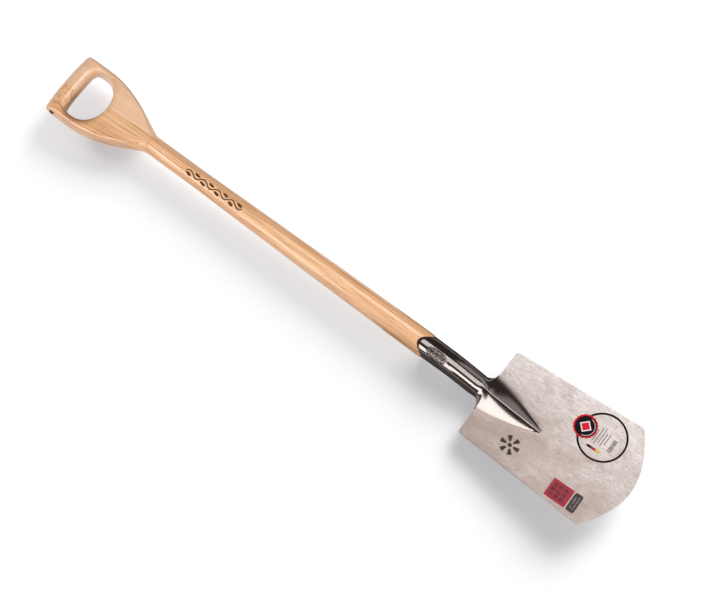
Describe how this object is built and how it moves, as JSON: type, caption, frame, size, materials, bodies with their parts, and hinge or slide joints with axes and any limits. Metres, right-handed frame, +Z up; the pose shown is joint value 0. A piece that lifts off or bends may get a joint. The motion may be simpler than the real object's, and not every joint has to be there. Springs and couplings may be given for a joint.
{
  "type": "garden spade",
  "caption": "Long digging spade with a dished, brushed steel blade, a polished closed socket with a raised ridge, and a tapered ash shaft that ends in a D-shaped wooden grip",
  "frame": {"origin": "under the middle of the spade's length, on the surface that it lies on face up", "axes": "X runs from the grip to the tip of the blade along the shaft, Y across the blade, Z up out of the front of the blade"},
  "size_m": [1.1262, 0.1952, 0.0481],
  "materials": {
    "blade_steel": "satin brushed along the blade, mirror polished on socket and ridge",
    "strap_steel": "polished",
    "ash": "clear satin lacquer over straight-grained ash",
    "pale_ash": "clear satin lacquer over pale ash",
    "fixing_steel": "dull zinc plate",
    "clear_film": "clear adhesive film with a thin dark ring",
    "red_film": "printed adhesive label",
    "orange_film": "printed adhesive label",
    "dark_film": "printed adhesive label"
  },
  "bodies": {
    "root": {"blade": "blade_steel", "back_strap": "strap_steel", "shaft": "ash", "grip_cheek": "pale_ash", "grip_pin": "fixing_steel", "screw_upper": "fixing_steel", "screw_lower": "fixing_steel", "ring_label": "clear_film", "seal_label": "red_film", "square_label": "orange_film", "strip_label": "dark_film"}
  },
  "joints": []
}
